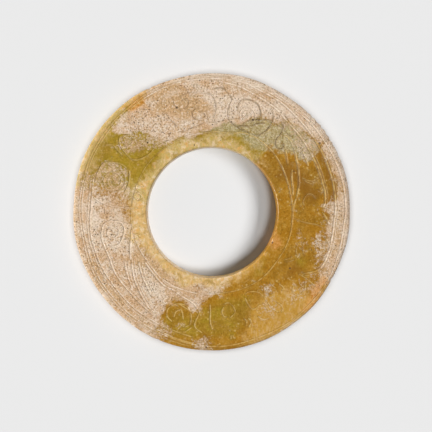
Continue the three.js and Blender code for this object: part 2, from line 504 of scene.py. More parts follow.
# Here the altered stone is only flecks in the sound one.
FLECKED = [
    [(276, .20), (284, .22), (290, .28), (297, .38), (299, .58), (296, .76), (290, .86), (286, 1.0),
     (276, 1.0)],
    [(303, .68), (304, .54), (308, .42), (313, .31), (322, .22), (340, .18), (338, .26), (326, .40),
     (318, .60), (312, .78)],
    [(34, .62), (42, .60), (48, .56), (55, .51), (61, .53), (63, .64), (62, .76), (56, .86), (46, .84),
     (40, .76)],
    [(98, .62), (103, .52), (109, .53), (113, .60), (116, .76), (104, .76)],
    [(188.5, .82), (180.5, .80), (178, 1.2), (190, 1.2)],
    [(197, .86), (207, .66), (210, .5), (216, .9), (212, 1.2), (204, 1.2)],
    [(139, .34), (143, .29), (148, .35), (147, .52), (140, .52)],
]
# And here there are fewer.
SPARSELY_FLECKED = [
    [(112, .72), (118, .66), (124, .60), (132, .58), (140, .62), (142, .74), (137, .84), (130, .88),
     (122, .84), (114, .78)],
    [(144, .50), (152, .48), (158, .60), (156, .80), (146, .82), (142, .66)],
    [(100, .30), (112, .26), (118, .36), (112, .52), (102, .50)],
]
# A thin greyish veil over green stone.
HAZE = [
    [(344, .24), (352, .22), (8, .22), (20, .18), (32, .16), (40, .20), (43, .28), (47, .38), (52, .44),
     (58, .52), (62, .62),
     (61, .76), (55, .84), (46, .80), (38, .68), (30, .60), (22, .54), (14, .46), (6, .40), (354, .36),
     (346, .34)],
]
# Iron stains.
RUST = [
    [(322, .87), (325, .83), (329, .85), (331, .90), (329, .96), (324, .97), (321, .93)],
    [(119, .93), (121, .86), (127, .83), (134, .87), (138, .94), (137, 1.0), (127, 1.02), (120, .98)],
    [(104, .02), (110, .0), (119, .0), (122, .06), (116, .14), (108, .10)],
]
# Darker brown in the amber stone.
UMBER = [
    [(60, .74), (66, .73), (75, .74), (86, .68), (88, .74), (84, .84), (76, .86), (68, .83), (61, .83)],
    [(108, .0), (113, -.2), (120, -.2), (119, .03), (113, .08)],
    [(60, .10), (70, .30), (80, .36), (86, .52), (80, .62), (68, .52), (60, .44), (54, .30)],
    [(120, .40), (127, .36), (134, .44), (128, .56), (121, .52)],
]
# Green stone, and below it where the green is fainter.
OLIVE = [
    [(276, -.2), (279, .2), (284, .4), (284, .80), (276, .9), (276, 1.2), (300, 1.2), (326, 1.2),
     (322, .85), (322, .45), (330, .25),
     (345, .25), (0, .30), (14, .34), (30, .34), (40, .24), (42, .08), (43, -.2)],
]
FAINT_OLIVE = [
    [(152, .35), (160, .30), (172, .30), (182, .34), (190, .5), (205, .5), (206, .9), (196, .9),
     (184, .86), (170, .84), (160, .70)],
    [(112, .40), (119, .36), (124, .46), (122, .60), (115, .62)],
    [(130, .06), (142, .06), (150, .16), (140, .22)],
    [(38, .60), (48, .50), (58, .52), (60, .66), (58, .80), (50, .82), (42, .72)],
]
# The whitest crust, full of dark specks.
BRIGHT = [
    [(310, .82), (311.5, .70), (314, .60), (318, .50), (323, .38), (330, .28), (340, .24), (350, .27),
     (352, .36), (343, .42),
     (338, .48), (332, .56), (325, .66), (316, .84)],
    [(350, .34), (0, .36), (10, .40), (18, .46), (26, .54), (34, .60), (34, .66), (24, .60), (14, .54),
     (6, .48), (354, .44)],
    [(50, .60), (52, .52), (57, .48), (60, .56), (62, .64), (58, .70), (53, .66)],
    [(102, .60), (105, .54), (109, .56), (111, .64), (107, .71), (103, .69)],
    [(139, .34), (143, .29), (147, .35), (146, .50), (140, .50)],
    [(244, .30), (250, .26), (262, .26), (264, .36), (262, .62), (266, .80), (252, .84), (249, .60),
     (244, .48)],
    [(84, .72), (88, .70), (96, .74), (98, .90), (86, .90)],
    [(207, .52), (213, .36), (222, .26), (232, .28), (236, .40), (226, .52), (216, .66), (209, .72)],
]
CHALK = [
    [(8, .58), (12, .48), (18, .47), (24, .56), (30, .62), (34, .68), (30, .76), (22, .82), (14, .80),
     (9, .70)],
    [(350, .95), (10, .92), (30, .92), (44, .93), (60, .95), (75, .95), (95, .95), (112, .94),
     (112, 1.2), (75, 1.2),
     (44, 1.2), (10, 1.2), (350, 1.2)],
    [(30, .72), (38, .74), (50, .84), (62, .88), (72, .90), (60, .94), (44, .90), (30, .84)],
    [(262, .84), (272, .80), (282, .76), (286, .70), (284, .62), (272, .64), (262, .70)],
    [(0, .44), (8, .46), (8, .70), (2, .80), (352, .84), (356, .66)],
]
BROWN = [
    [(330, .76), (333, .62), (339, .50), (347, .44), (356, .44), (359, .58), (354, .72), (346, .80),
     (336, .84)],
    [(328, .92), (333, .80), (340, .84), (348, .86), (344, .94), (334, .97)],
    [(213, .14), (222, .13), (232, .16), (243, .22), (247, .34), (240, .42), (230, .36), (220, .30),
     (212, .24)],
    [(262, .26), (272, .24), (280, .27), (280, .34), (270, .36), (264, .34)],
    [(284, .44), (290, .42), (292, .60), (286, .74), (281, .66), (281, .54)],
    [(86, .74), (94, .76), (104, .82), (112, .86), (108, .92), (94, .90), (86, .86)],
    [(60, .88), (70, .90), (84, .92), (84, .97), (70, .96), (58, .93)],
    [(46, .78), (54, .80), (60, .86), (54, .90), (46, .86)],
    [(196, .40), (204, .36), (211, .42), (211, .52), (205, .56), (199, .48)],
    [(208, .86), (220, .84), (236, .84), (252, .84), (252, .94), (236, .96), (220, .96), (208, .94)],
]
GOLD = [
    [(277, .88), (285, .84), (300, .86), (312, .88), (319, .92), (319, 1.2), (300, 1.2), (276, 1.2)],
    [(129, .66), (134, .56), (142, .48), (150, .44), (156, .48), (160, .60), (163, .76), (165, .92),
     (162, 1.2), (150, 1.2),
     (136, 1.2), (131, .98), (129, .84)],
    [(126, -.3), (128, .03), (135, .08), (145, .10), (158, .12), (166, .10), (170, -.3)],
]


def wander(xy):
    """Each plan position moved by a few sines of its own place, by up to about a millimetre, so
    that an outline drawn with few points gets the uneven course of a real stain."""
    x, y = xy.T / MM
    aside = 0.7 * np.sin(y / 1.7 + 1.3 * np.sin(x / 2.9)) + 0.4 * np.sin(x / 0.8 + y / 1.1 + np.sin(y / 2.3))
    along = 0.7 * np.sin(x / 1.9 + 1.3 * np.sin(y / 2.5)) + 0.4 * np.sin(x / 1.2 - y / 0.7 + np.sin(x / 2.1))
    return xy + np.stack([aside, along], axis=-1) * MM


def in_zone(xy, outlines, soft):
    """How far each plan position is inside any of the outlines: 0 well outside, 1 well inside,
    and a half on the line, by the distance to the outline with the sign of even-odd crossing."""
    most = np.zeros(len(xy))
    for places in outlines:
        ring = on_face(*np.array(places, float).T)
        after = np.roll(ring, -1, axis=0)
        run = after - ring
        gap = gaps_to(xy, ring, run).min(axis=1)
        y, x = xy[:, 1, None], xy[:, 0, None]
        spans = (ring[:, 1] > y) != (after[:, 1] > y)
        crossing = ring[:, 0] + (y - ring[:, 1]) * run[:, 0] / np.where(run[:, 1] == 0, 1e-12, run[:, 1])
        odd = (spans & (x < crossing)).sum(axis=1) % 2 == 1
        most = np.maximum(most, smoothstep(-soft, soft, np.where(odd, gap, -gap)))
    return most


# %% Strew the small pits
TRIES = 900
tries = on_face(random.uniform(0, 360, TRIES), random.uniform(.03, .97, TRIES))
kept = random.random(TRIES) < 0.02 + 0.40 * in_zone(tries, PALE, 1.0 * MM)
small_pits = tries[kept]
pit_places = np.concatenate([on_face(*np.array(LARGE_PITS)[:, :2].T), small_pits])
pit_radii = np.r_[np.array(LARGE_PITS)[:, 2], random.uniform(0.14, 0.26, len(small_pits))] * MM
print(len(pit_places), "pits")


def pitted_at(xy):
    """Depth of the pits at each plan position and how far into a pit it is. A pit is a bowl:
    its depth falls off with 1 minus the squared distance from its middle over its radius."""
    depth, inside = np.zeros(len(xy)), np.zeros(len(xy))
    for chunk in np.array_split(np.arange(len(xy)), max(1, len(xy) // 4000)):
        gap = np.hypot(*np.moveaxis(xy[chunk, None] - pit_places[None], -1, 0))
        bowl = np.clip(1 - (gap / pit_radii) ** 2, 0, 1)
        depth[chunk] = (bowl * np.minimum(0.6 * pit_radii, 0.22 * MM)).max(axis=1)
        inside[chunk] = bowl.max(axis=1)
    return depth, inside


# %% [markdown]
# ## The face
#
# The face is a height above the plan. An even grid fine enough for the lines would need far
# too many faces, so the points are laid where they are needed: a V profile is carried along
# each line, rings go round the pits, and an open scatter fills the rest. A Delaunay
# triangulation joins them.

# %% Lay out the points of the face
# The plain round-overs at the rim and the bore in millimetres: along the face, down the wall.
RIM_ROUND = (0.9, 0.8)
BORE_ROUND = (0.55, 0.5)
FACE_INSET_RIM = RIM_ROUND[0] * MM
FACE_INSET_BORE = BORE_ROUND[0] * MM
# Places across a line, in its half widths.
RAILS = np.array([-1.1, -0.55, 0, 0.55, 1.1])
SCATTER_STEP = 0.52 * MM
SCATTER_REACH = 56 * MM

column_angle = np.radians(column_clock)
ray = np.stack([np.sin(column_angle), np.cos(column_angle)], axis=-1)
outer_ring = BORE_CENTRE + (rim_radius - FACE_INSET_RIM)[:, None] * ray
inner_ring = BORE_CENTRE + (bore_front + FACE_INSET_BORE) * ray


def rail_points(path, half):
    """The profile's points carried along a line: each of its places, moved across the line by
    each rail's share of the half width."""
    return (path[:, None] + RAILS[None, :, None] * half * across(path)[:, None]).reshape(-1, 2)


def scatter(step):
    """Plan positions in even, staggered rows over the whole disc, each nudged at random."""
    side = np.arange(-SCATTER_REACH, SCATTER_REACH, step)
    x, y = np.meshgrid(side, side * np.sqrt(3) / 2 * 1.16)
    x = x + (np.arange(len(side))[:, None] % 2) * step / 2
    points = np.stack([x.ravel(), y.ravel()], axis=-1)
    return points + random.uniform(-0.12, 0.12, points.shape) * step


def thinned(points, gap):
    """The points with near twins dropped: the first point in each cell of the given size."""
    cells = np.floor(points / gap).astype(np.int64)
    first = np.unique(cells[:, 0] * 100003 + cells[:, 1], return_index=True)[1]
    return points[np.sort(first)]


rails = thinned(np.concatenate([rail_points(path, half) for path, half, *_ in lines]), 0.085 * MM)
ring_turn = np.linspace(0, 2 * np.pi, 7)[:-1]
ring_shape = np.concatenate(
    [[[0, 0]]] + [r * np.stack([np.cos(ring_turn + r), np.sin(ring_turn + r)], axis=-1) for r in (0.5, 1.0)]
)
pit_points = (pit_places[:, None] + pit_radii[:, None, None] * ring_shape[None]).reshape(-1, 2)
open_points = scatter(SCATTER_STEP)
near_line = incised_at(open_points)[1] > 0
near_pit = pitted_at(open_points)[1] > 0
filling = np.concatenate([rails, thinned(pit_points, 0.05 * MM), open_points[~near_line & ~near_pit]])

away = filling - BORE_CENTRE
reach = np.hypot(*away.T)
edge = np.interp(clock_of(away), column_clock, rim_radius, period=360)
inside_rim = reach < edge - FACE_INSET_RIM - 0.25 * MM
outside_bore = reach > bore_front + FACE_INSET_BORE + 0.2 * MM
filling = filling[inside_rim & outside_bore]
print(len(rails), "points along the lines,", len(filling), "points inside the face")

# %% Join them
plan = np.concatenate([outer_ring, inner_ring, filling])
ring_edges = [(k, (k + 1) % COLUMNS) for k in range(COLUMNS)]
ring_edges += [(COLUMNS + a, COLUMNS + b) for a, b in ring_edges]
joined = delaunay_2d_cdt([Vector(p) for p in (plan / MM).tolist()], ring_edges, [], 0, 1e-5)
plan = np.array([tuple(p) for p in joined[0]]) * MM
face_triangles = np.array(joined[2])
came_from = np.full(len(plan), -1)
came_from[[k for k, ids in enumerate(joined[3]) if ids]] = [ids[0] for ids in joined[3] if ids]
slot_of = np.full(2 * COLUMNS, -1)
is_ring = (came_from >= 0) & (came_from < 2 * COLUMNS)
slot_of[came_from[is_ring]] = np.flatnonzero(is_ring)
rim_ids, bore_ids = slot_of[:COLUMNS], slot_of[COLUMNS:]

# The triangulation also fills the bore and the rim's shallow hollows. Those triangles have
# all three corners on one ring, and go round it the other way from the ones inside the rim.
place = np.full(len(plan), -1)
place[rim_ids], place[bore_ids] = np.arange(COLUMNS), COLUMNS + np.arange(COLUMNS)
corner_place = place[face_triangles]
in_bore = (corner_place >= COLUMNS).all(axis=1)
on_rim = ((corner_place >= 0) & (corner_place < COLUMNS)).all(axis=1)
clockwise = ((np.roll(corner_place, -1, axis=1) - corner_place) % COLUMNS).sum(axis=1) == COLUMNS
face_triangles = face_triangles[~in_bore & ~(on_rim & clockwise)]
print(len(plan), "points and", len(face_triangles), "triangles on the face")

# %% [markdown]
# ## The edges
#
# A hand-rubbed edge isn't a chamfer of one size. Its round-over is a quarter of an ellipse
# whose two sizes change round the clock, wider where the rim was rubbed down and where a
# flake has come off. The same rule is used on the face and on the wall, so they meet smoothly.

# %% The sizes of the round-overs
# Clock, half width in degrees, how much wider and how much deeper, both in millimetres.
RIM_WEAR = [
    (62, 46, 1.0, 0.0), (47, 1.6, 0.5, 0.35), (57, 2.2, 0.7, 0.4), (182, 3.0, 0.5, 0.3),
    (352, 1.4, 0.3, 0.2),
    (119, 1.6, 0.4, 0.3), (208, 1.8, 0.4, 0.3), (232, 1.5, 0.3, 0.2), (300, 1.6, 0.3, 0.2),
    (334, 2.0, 0.4, 0.3),
]
BORE_WEAR = [
    (182, 42, 0.6, 0.2), (129, 2.2, 0.5, 0.4), (138, 2.6, 0.6, 0.5), (116, 3.0, 0.5, 0.5),
    (165, 3.5, 0.4, 0.3),
    (30, 2.5, 0.3, 0.2), (74, 2.0, 0.3, 0.3), (248, 2.2, 0.3, 0.2), (290, 2.4, 0.3, 0.2),
]


def worn(clock, wear, along, down):
    """The round-over's two sizes at each clock angle: the plain ones, and for each worn place
    its extra times a cosine that falls to nothing at its half width."""
    along, down = np.full(len(clock), along), np.full(len(clock), down)
    for at, half, wider, deeper in wear:
        off = degrees_off(clock, at) / half
        share = np.where(off < 1, 0.5 + 0.5 * np.cos(np.pi * np.minimum(off, 1)), 0)
        along, down = along + wider * share, down + deeper * share
    return along * MM, down * MM


def round_over(off_edge, along, down):
    """How far a surface has dropped at a distance from its edge: an ellipse's quarter, nothing
    where it starts and the whole way down at the edge."""
    return down * (1 - np.sqrt(1 - np.clip((along - off_edge) / along, 0, 1) ** 2))


def clock_round_bore(xy):
    """Clock angle about the bore's centre, and distance from it."""
    off = xy - BORE_CENTRE
    return clock_of(off), np.hypot(*off.T)


def face_height(xy):
    """Height of the face: the slab's thickness, less the slow unevenness of hand grinding, the
    two round-overs, and the lines and pits."""
    clock, radius = clock_round_bore(xy)
    x, y = xy.T / MM
    swells = np.sin(x / 7.3 + 1.1 * np.sin(y / 13)) + np.sin(y / 8.9 - 0.7) + np.sin((x + y) / 5.1)
    height = THICKNESS - 0.018 * MM * (3 + swells)
    off_rim = np.interp(clock, column_clock, rim_radius, period=360) - radius
    height -= round_over(off_rim, *worn(clock, RIM_WEAR, *RIM_ROUND))
    height -= round_over(radius - bore_front, *worn(clock, BORE_WEAR, *BORE_ROUND))
    return height - np.maximum(incised_at(xy)[0], pitted_at(xy)[0])


face = np.column_stack([plan, face_height(plan)])
print("face height in millimetres:", (face[:, 2].min() / MM).round(2), "to", (face[:, 2].max() / MM).round(2))

# %% [markdown]
# ## The rim, the back and the bore
#
# The rest of the stone is one profile carried round the clock: over the edge, down the rim,
# round under, in across the plain back, and up through the bore. It starts on the face's
# outer ring of points and ends on its inner one, so the whole stone is one closed skin.

# %% Carry the profile round
WALL_ROWS, BACK_ROWS, BORE_ROWS = 6, 13, 11
# The round-overs at the back, along it and up the wall, and how far the rim leans in.
UNDER_RIM = (0.75 * MM, 0.9 * MM)
UNDER_BORE = (0.4 * MM, 0.5 * MM)
LEAN = 0.05 * MM
SAW_DEPTH = 0.06 * MM
turn = np.radians(np.array([18, 36, 54, 72, 90]))[:, None]
rim_along, rim_down = worn(column_clock, RIM_WEAR, *RIM_ROUND)
bore_along, bore_down = worn(column_clock, BORE_WEAR, *BORE_ROUND)
rim_z = face[rim_ids, 2]
bore_z = face[bore_ids, 2]
wobble = 0.03 * MM * (1 + np.sin(np.radians(column_clock * 17)) * np.sin(np.radians(column_clock * 5 + 40)))


def falls(first, last, count):
    """Evenly spaced rows from first to last, without either end."""
    return first + (last - first) * (np.arange(1, count + 1) / (count + 1))[:, None]


level = np.ones(COLUMNS)
over_d = FACE_INSET_RIM * (1 - np.sin(turn))
over_r = rim_radius - over_d
over_z = rim_z + round_over(FACE_INSET_RIM, rim_along, rim_down) - round_over(over_d, rim_along, rim_down)
wall_z = falls(over_z[-1], UNDER_RIM[1] * level, WALL_ROWS)
wall_t = np.linspace(-1, 1, WALL_ROWS)[:, None]
wall_r = rim_radius - wobble * (1 - wall_t**2) - LEAN * wall_t**2
under_r = rim_radius - LEAN - UNDER_RIM[0] * (1 - np.cos(turn))
under_z = UNDER_RIM[1] * (1 - np.sin(turn)) * level
back_r = falls(under_r[-1], (bore_back + UNDER_BORE[0]) * level, BACK_ROWS)
back_share = np.arange(1, BACK_ROWS + 1)[:, None] / (BACK_ROWS + 1)
saw_x, saw_y = back_r * np.sin(column_angle) / MM, back_r * np.cos(column_angle) / MM
saw_cut = 0.5 + 0.5 * np.sin(saw_x / 6 + saw_y**2 / 300)
back_z = SAW_DEPTH * saw_cut * smoothstep(0, 0.5, np.sin(np.pi * back_share))
few = turn[::2]
in_r = (bore_back + UNDER_BORE[0] * (1 - np.sin(few))) * level
in_z = UNDER_BORE[1] * (1 - np.cos(few)) * level
bore_edge_z = bore_z + round_over(FACE_INSET_BORE, bore_along, bore_down) - bore_down
up_t = np.linspace(0.07, 1, BORE_ROWS)[:, None]
up_z = UNDER_BORE[1] + up_t * (bore_edge_z - UNDER_BORE[1])
drill_rings = 0.025 * MM * (1 - up_t) * (1 + np.sin(19 * up_t + column_angle))
up_r = bore_back + (bore_front - bore_back) * up_t + drill_rings
lip_d = FACE_INSET_BORE * (1 - np.sin(few[:-1][::-1]))
lip_r = (bore_front + lip_d) * level
lip_z = bore_z + round_over(FACE_INSET_BORE, bore_along, bore_down) - round_over(lip_d, bore_along, bore_down)
profile_r = np.concatenate([over_r, wall_r, under_r, back_r, in_r, up_r, lip_r])
profile_z = np.concatenate([over_z, wall_z, under_z, back_z, in_z, up_z, lip_z])
rows = len(profile_r)
around = np.stack(
    [
        BORE_CENTRE[0] + profile_r * np.sin(column_angle),
        BORE_CENTRE[1] + profile_r * np.cos(column_angle),
        profile_z,
    ],
    axis=-1,
).reshape(-1, 3)
print("profile of", rows, "rows, carried round", COLUMNS, "columns")

# %% Sew the face and the profile into one skin
ids = np.concatenate(
    [rim_ids[None], len(face) + np.arange(rows * COLUMNS).reshape(rows, COLUMNS), bore_ids[None]]
)
next_column = np.roll(ids, -1, axis=1)
quads = np.stack([ids[:-1], next_column[:-1], next_column[1:], ids[1:]], axis=-1).reshape(-1, 4)
print("the stone's skin is", len(face_triangles) + 2 * len(quads), "triangles")
skin = np.concatenate([face, around])
disc_mesh = bpy.data.meshes.new("carved_jade_disc")
disc_mesh.from_pydata(skin.tolist(), [], face_triangles.tolist() + quads.tolist())
disc_mesh.polygons.foreach_set("use_smooth", np.ones(len(disc_mesh.polygons), bool))
disc_mesh.update()
disc_mesh.validate()
disc = bpy.data.objects.new("carved_jade_disc", disc_mesh)
bpy.context.scene.collection.objects.link(disc)

# %% [markdown]
# ## What the material needs to know
#
# A material can't tell by itself where on the stone it is pale or stained. It could read a
# painted picture, but numbers kept on the points follow the shape and need no picture. The
# pale stone goes through the slab at a slant, so on the back its borders are shifted.

# %% Keep the zones on the points
inward = 1 - np.clip(skin[:, 2] / THICKNESS, 0, 1)
soaked = skin[:, :2] + inward[:, None] * np.array([2.2, -1.6]) * MM
skin_clock, skin_share = clock_and_share(skin[:, :2])
is_face = np.arange(len(skin)) < len(face)
line_inside, line_tone = incised_at(skin[:, :2])[1:]
pit_inside = pitted_at(skin[:, :2])[1]


def round_the_clock(stops):
    """A value at each point's clock angle, read evenly between stops of clock and value."""
    at, value = np.array(stops, float).T
    return np.interp(skin_clock, at, value, period=360)


# Painted light: a band just inside the rim that is brighter or fainter round the clock, and a glow round the
# bore that is strongest at the lower left. The material turns both into lighter colour.
painted_rim_light = smoothstep(0.93, 0.985, skin_share) * round_the_clock(
    [(0, .5), (60, .4), (100, .5), (130, .8), (150, .6), (165, .2), (190, .1), (210, .2), (230, .6),
     (262, .9), (300, .7), (320, .6)]
)
bore_reach = round_the_clock(
    [(0, .26), (40, .18), (90, .06), (150, .06), (175, .2), (205, .2), (235, .28), (260, .38),
     (285, .34), (300, .24), (320, .28)]
)
uneven_reach = 1 + 0.35 * np.sin(np.radians(9 * skin_clock + 60 * np.sin(np.radians(4 * skin_clock))))
from_bore = clock_and_share(wander(skin[:, :2]))[1] / (bore_reach * uneven_reach)
painted_bore_glow = (1 - smoothstep(0.2, 1.4, from_bore)) * round_the_clock(
    [(0, .7), (25, .7), (40, .45), (55, .12), (100, .0), (140, .15), (165, .7), (190, 1.0), (215, .95),
     (270, .95), (284, .9),
     (294, .7), (305, .7), (320, .8)]
)
border_softness = MM * round_the_clock(
    [(0, 1.4), (25, 1.8), (48, 3.0), (60, 3.4), (100, 4.2), (128, 3.8), (140, 3.0), (165, 3.0),
     (185, 3.0), (200, 2.4),
     (207, 2.0), (225, 3.2), (260, 3.4), (276, 4.5), (290, 3.0), (300, 1.6), (325, 2.0)]
)
stained = wander(soaked)
zones = {
    "pale": in_zone(stained, PALE, border_softness),
    "flecked": np.maximum(
        in_zone(stained, FLECKED, 2.6 * MM), 0.72 * in_zone(stained, SPARSELY_FLECKED, 3.0 * MM)
    ),
    "haze": in_zone(stained, HAZE, 2.4 * MM),
    "rust": in_zone(stained, RUST, 2.6 * MM),
    "umber": in_zone(stained, UMBER, 3.0 * MM),
    "brown": in_zone(stained, BROWN, 2.6 * MM),
    "olive": np.maximum(in_zone(soaked, OLIVE, 3.0 * MM), 0.6 * in_zone(soaked, FAINT_OLIVE, 4.0 * MM)),
    "gold": in_zone(stained, GOLD, 4.5 * MM),
    "bright": in_zone(stained, BRIGHT, 2.2 * MM),
    "chalk": in_zone(stained, CHALK, 2.4 * MM),
    "painted_edge_glow": np.maximum(painted_rim_light, painted_bore_glow),
    "line": np.where(is_face, line_inside, 0),
    "tone": np.where(is_face, line_tone, 0),
    "pit": np.where(is_face, pit_inside, 0),
}
for name, values in zones.items():
    disc_mesh.attributes.new(name, "FLOAT", "POINT").data.foreach_set("value", values.astype(np.float32))
    print(f"{name}: mean {values.mean():.2f}")

# %% [markdown]
# ## The stone
#
# Nephrite is a felt of fine fibres. Polished, it is waxy rather than glassy, and light goes
# a little way in, so its colour is cloudy: olive where iron is one way, amber where it is the
# other. The altered stone is opaque buff with brown specks and its polish is gone. One
# material holds both, because one grades into the other inside a single crystal.

# %% Small helpers for nodes
jade = bpy.data.materials.new("weathered_nephrite")
jade.use_nodes = True
tree = jade.node_tree
tree.nodes.clear()


def colour(code):
    """A colour from its six-figure code, as the linear values that a shader works in."""
    parts = np.array([int(code[k : k + 2], 16) for k in (0, 2, 4)]) / 255
    linear = np.where(parts <= 0.04045, parts / 12.92, ((parts + 0.055) / 1.055) ** 2.4)
    return (*linear.tolist(), 1.0)


def node(kind, inputs=None, **settings):
    """A node with its settings made, and its inputs linked or set."""
    made = tree.nodes.new(kind)
    for name, value in settings.items():
        setattr(made, name, value)
    for key, value in (inputs or {}).items():
        if isinstance(value, bpy.types.NodeSocket):
            tree.links.new(value, made.inputs[key])
        else:
            made.inputs[key].default_value = value
    return made


def calc(operation, *values):
    """The outcome of a Math node."""
    return node("ShaderNodeMath", dict(enumerate(values)), operation=operation).outputs[0]


def plus(first, second):
    """The sum of two values."""
    return calc("ADD", first, second)


def times(*values):
    """The product of two or more values."""
    product = values[0]
    for value in values[1:]:
        product = calc("MULTIPLY", product, value)
    return product


def rise(value, low, high, top=1.0):
    """An S-shaped rise from 0 to top as the value goes from low to high."""
    inputs = {0: value, 1: low, 2: high, 3: 0.0, 4: top}
    return node("ShaderNodeMapRange", inputs, interpolation_type="SMOOTHSTEP").outputs[0]


def blend(factor, under, over):
    """One colour over another, as much as the factor says."""
    return node("ShaderNodeMix", {0: factor, 6: under, 7: over}, data_type="RGBA").outputs[2]


def layered(base, *layers):
    """Colours laid over a base one by one, each where its cause rises from one value to another
    and as thick as its third number says."""
    for cause, low, high, most, code in layers:
        base = blend(rise(cause, low, high, most), base, colour(code))
    return base


def zone(name):
    """The number that a zone or a cut has written on the points."""
    return node("ShaderNodeAttribute", attribute_name=name).outputs["Fac"]


position = node("ShaderNodeTexCoord").outputs["Object"]
in_mm = node("ShaderNodeVectorMath", {0: position, "Scale": 1000.0}, operation="SCALE").outputs[0]


def noise(size, detail=3.0, roughness=0.55, distortion=0.0, offset=0.0, squeeze=(1, 1, 1), turned=0.0):
    """Cloudy noise whose lumps are about size millimetres across, or longer where squeezed."""
    placed = node(
        "ShaderNodeMapping",
        {0: in_mm, 1: (offset, offset * 0.7, offset * 0.3), 2: (0, 0, math.radians(turned)),
         3: tuple(s / size for s in squeeze)},
    ).outputs[0]
    return node(
        "ShaderNodeTexNoise",
        {"Vector": placed, "Scale": 1.0, "Detail": detail, "Roughness": roughness, "Distortion": distortion},
    ).outputs["Fac"]


def specks(size, share, offset=0.0):
    """Round specks: in each cell of about size millimetres, one dot, if the cell's own random
    number is under the share. The value is 1 in the dots, with soft edges, and 0 between."""
    placed = node("ShaderNodeMapping", {0: in_mm, 1: (offset, offset, offset), 3: (1 / size,) * 3}).outputs[0]
    cells = node("ShaderNodeTexVoronoi", {"Vector": placed, "Scale": 1.0, "Randomness": 1.0})
    number = node("ShaderNodeSeparateColor", {0: cells.outputs["Color"]})
    chosen = calc("LESS_THAN", number.outputs[0], share)
    width = calc("MULTIPLY_ADD", number.outputs[1], 0.22, 0.16)
    dot = calc("SUBTRACT", 1.0, rise(calc("DIVIDE", cells.outputs["Distance"], width), 0.5, 1.1))
    return times(chosen, dot)


# %% The sound stone
clouds = noise(9, 3, 0.55, 0.6)
drifts = noise(3.4, 4, 0.6, 0.8, 11)
fibres = noise(1.6, 4, 0.65, 1.2, 5, squeeze=(1, 0.4, 1), turned=-32)
flecks = noise(0.8, 3, 0.7, 0, 23)
grit = noise(1.0, 4, 0.75, 0.3, 31)
mottle = noise(0.75, 3, 0.75, 0, 53)
blotches = noise(2.2, 4, 0.65, 0.5, 47)
ragged = plus(calc("MULTIPLY_ADD", drifts, 1.6, -0.8), calc("MULTIPLY_ADD", grit, 2.0, -1.0))


def ragged_zone(name, amount, begun=False):
    """A zone with a ragged border. If begun, the noise counts only where the zone has begun."""
    torn = times(ragged, amount, rise(zone(name), 0.0, 0.3)) if begun else times(ragged, amount)
    return plus(zone(name), torn)


green_share = rise(plus(zone("olive"), calc("MULTIPLY_ADD", clouds, 0.9, -0.45)), 0.2, 0.8)
sound = layered(
    blend(green_share, colour("a97513"), colour("a0851f")),
    (drifts, 0.40, 0.72, 0.5, "c0943a"),
    (clouds, 0.58, 0.36, 0.4, "84601a"),
    (fibres, 0.52, 0.72, 0.45, "c8a04c"),
    (flecks, 0.50, 0.34, 0.4, "6e5014"),
    (flecks, 0.54, 0.70, 0.35, "d6b060"),
    (ragged_zone("umber", 0.4), 0.15, 1.0, 0.55, "85581a"),
)
gold = layered(
    blend(green_share, colour("cc9d42"), colour("c2a568")),
    (fibres, 0.45, 0.62, 0.7, "dcb883"),
    (grit, 0.50, 0.38, 0.5, "b98432"),
)
sound = blend(rise(ragged_zone("gold", 0.7), 0.15, 1.0, 0.75), sound, gold)
# Painted glow: a lighter colour near the rim and the bore, for light coming through the thin edges.
painted_glow = layered(
    blend(green_share, colour("d8b372"), colour("c9ae68")),
    (fibres, 0.45, 0.62, 0.6, "e8cba0"),
    (grit, 0.54, 0.66, 0.5, "dc9c44"),
    (flecks, 0.48, 0.34, 0.5, "a98a4c"),
    (drifts, 0.48, 0.34, 0.75, "b08d48"),
    (drifts, 0.54, 0.66, 0.6, "e2a650"),
    (blotches, 0.52, 0.62, 0.6, "ecd6b6"),
)
sound = blend(rise(ragged_zone("painted_edge_glow", 0.45, begun=True), 0.1, 0.9), sound, painted_glow)
veil = layered(
    blend(rise(fibres, 0.38, 0.62), colour("9a8a58"), colour("c2b38a")),
    (mottle, 0.50, 0.62, 0.8, "dccfb2"),
    (mottle, 0.48, 0.36, 0.6, "7c6c3c"),
)
sound = blend(rise(ragged_zone("haze", 0.8), 0.1, 1.0, 0.85), sound, veil)
print("sound stone made,", len(tree.nodes), "nodes")

# %% The altered stone
opaque = rise(plus(zone("pale"), ragged), 0.34, 0.66)
pale_share = plus(times(opaque, 0.66), rise(zone("pale"), 0.35, 1.0, 0.34))
flecked = rise(plus(zone("flecked"), calc("MULTIPLY_ADD", grit, 3.0, -1.5)), 0.65, 1.15, 0.8)
pale_share = calc("MAXIMUM", pale_share, flecked)
altered = layered(
    blend(rise(noise(5, 3, 0.6, 0.7, 41), 0.40, 0.62), colour("cca47a"), colour("dcc3a8")),
    (blotches, 0.50, 0.64, 0.6, "bb9260"),
)
stain = rise(ragged_zone("brown", 0.5, begun=True), 0.1, 1.0, 0.9)
stain_colour = blend(rise(grit, 0.42, 0.58), colour("b48e58"), colour("d2a878"))
altered = layered(
    blend(stain, altered, stain_colour),
    (times(zone("chalk"), calc("MULTIPLY_ADD", blotches, -1.2, 1.4)), 0.0, 1.0, 0.8, "e4d0ba"),
)
crust = times(zone("bright"), rise(grit, 0.38, 0.60, 0.8))
altered = blend(crust, altered, colour("e0cdb6"))
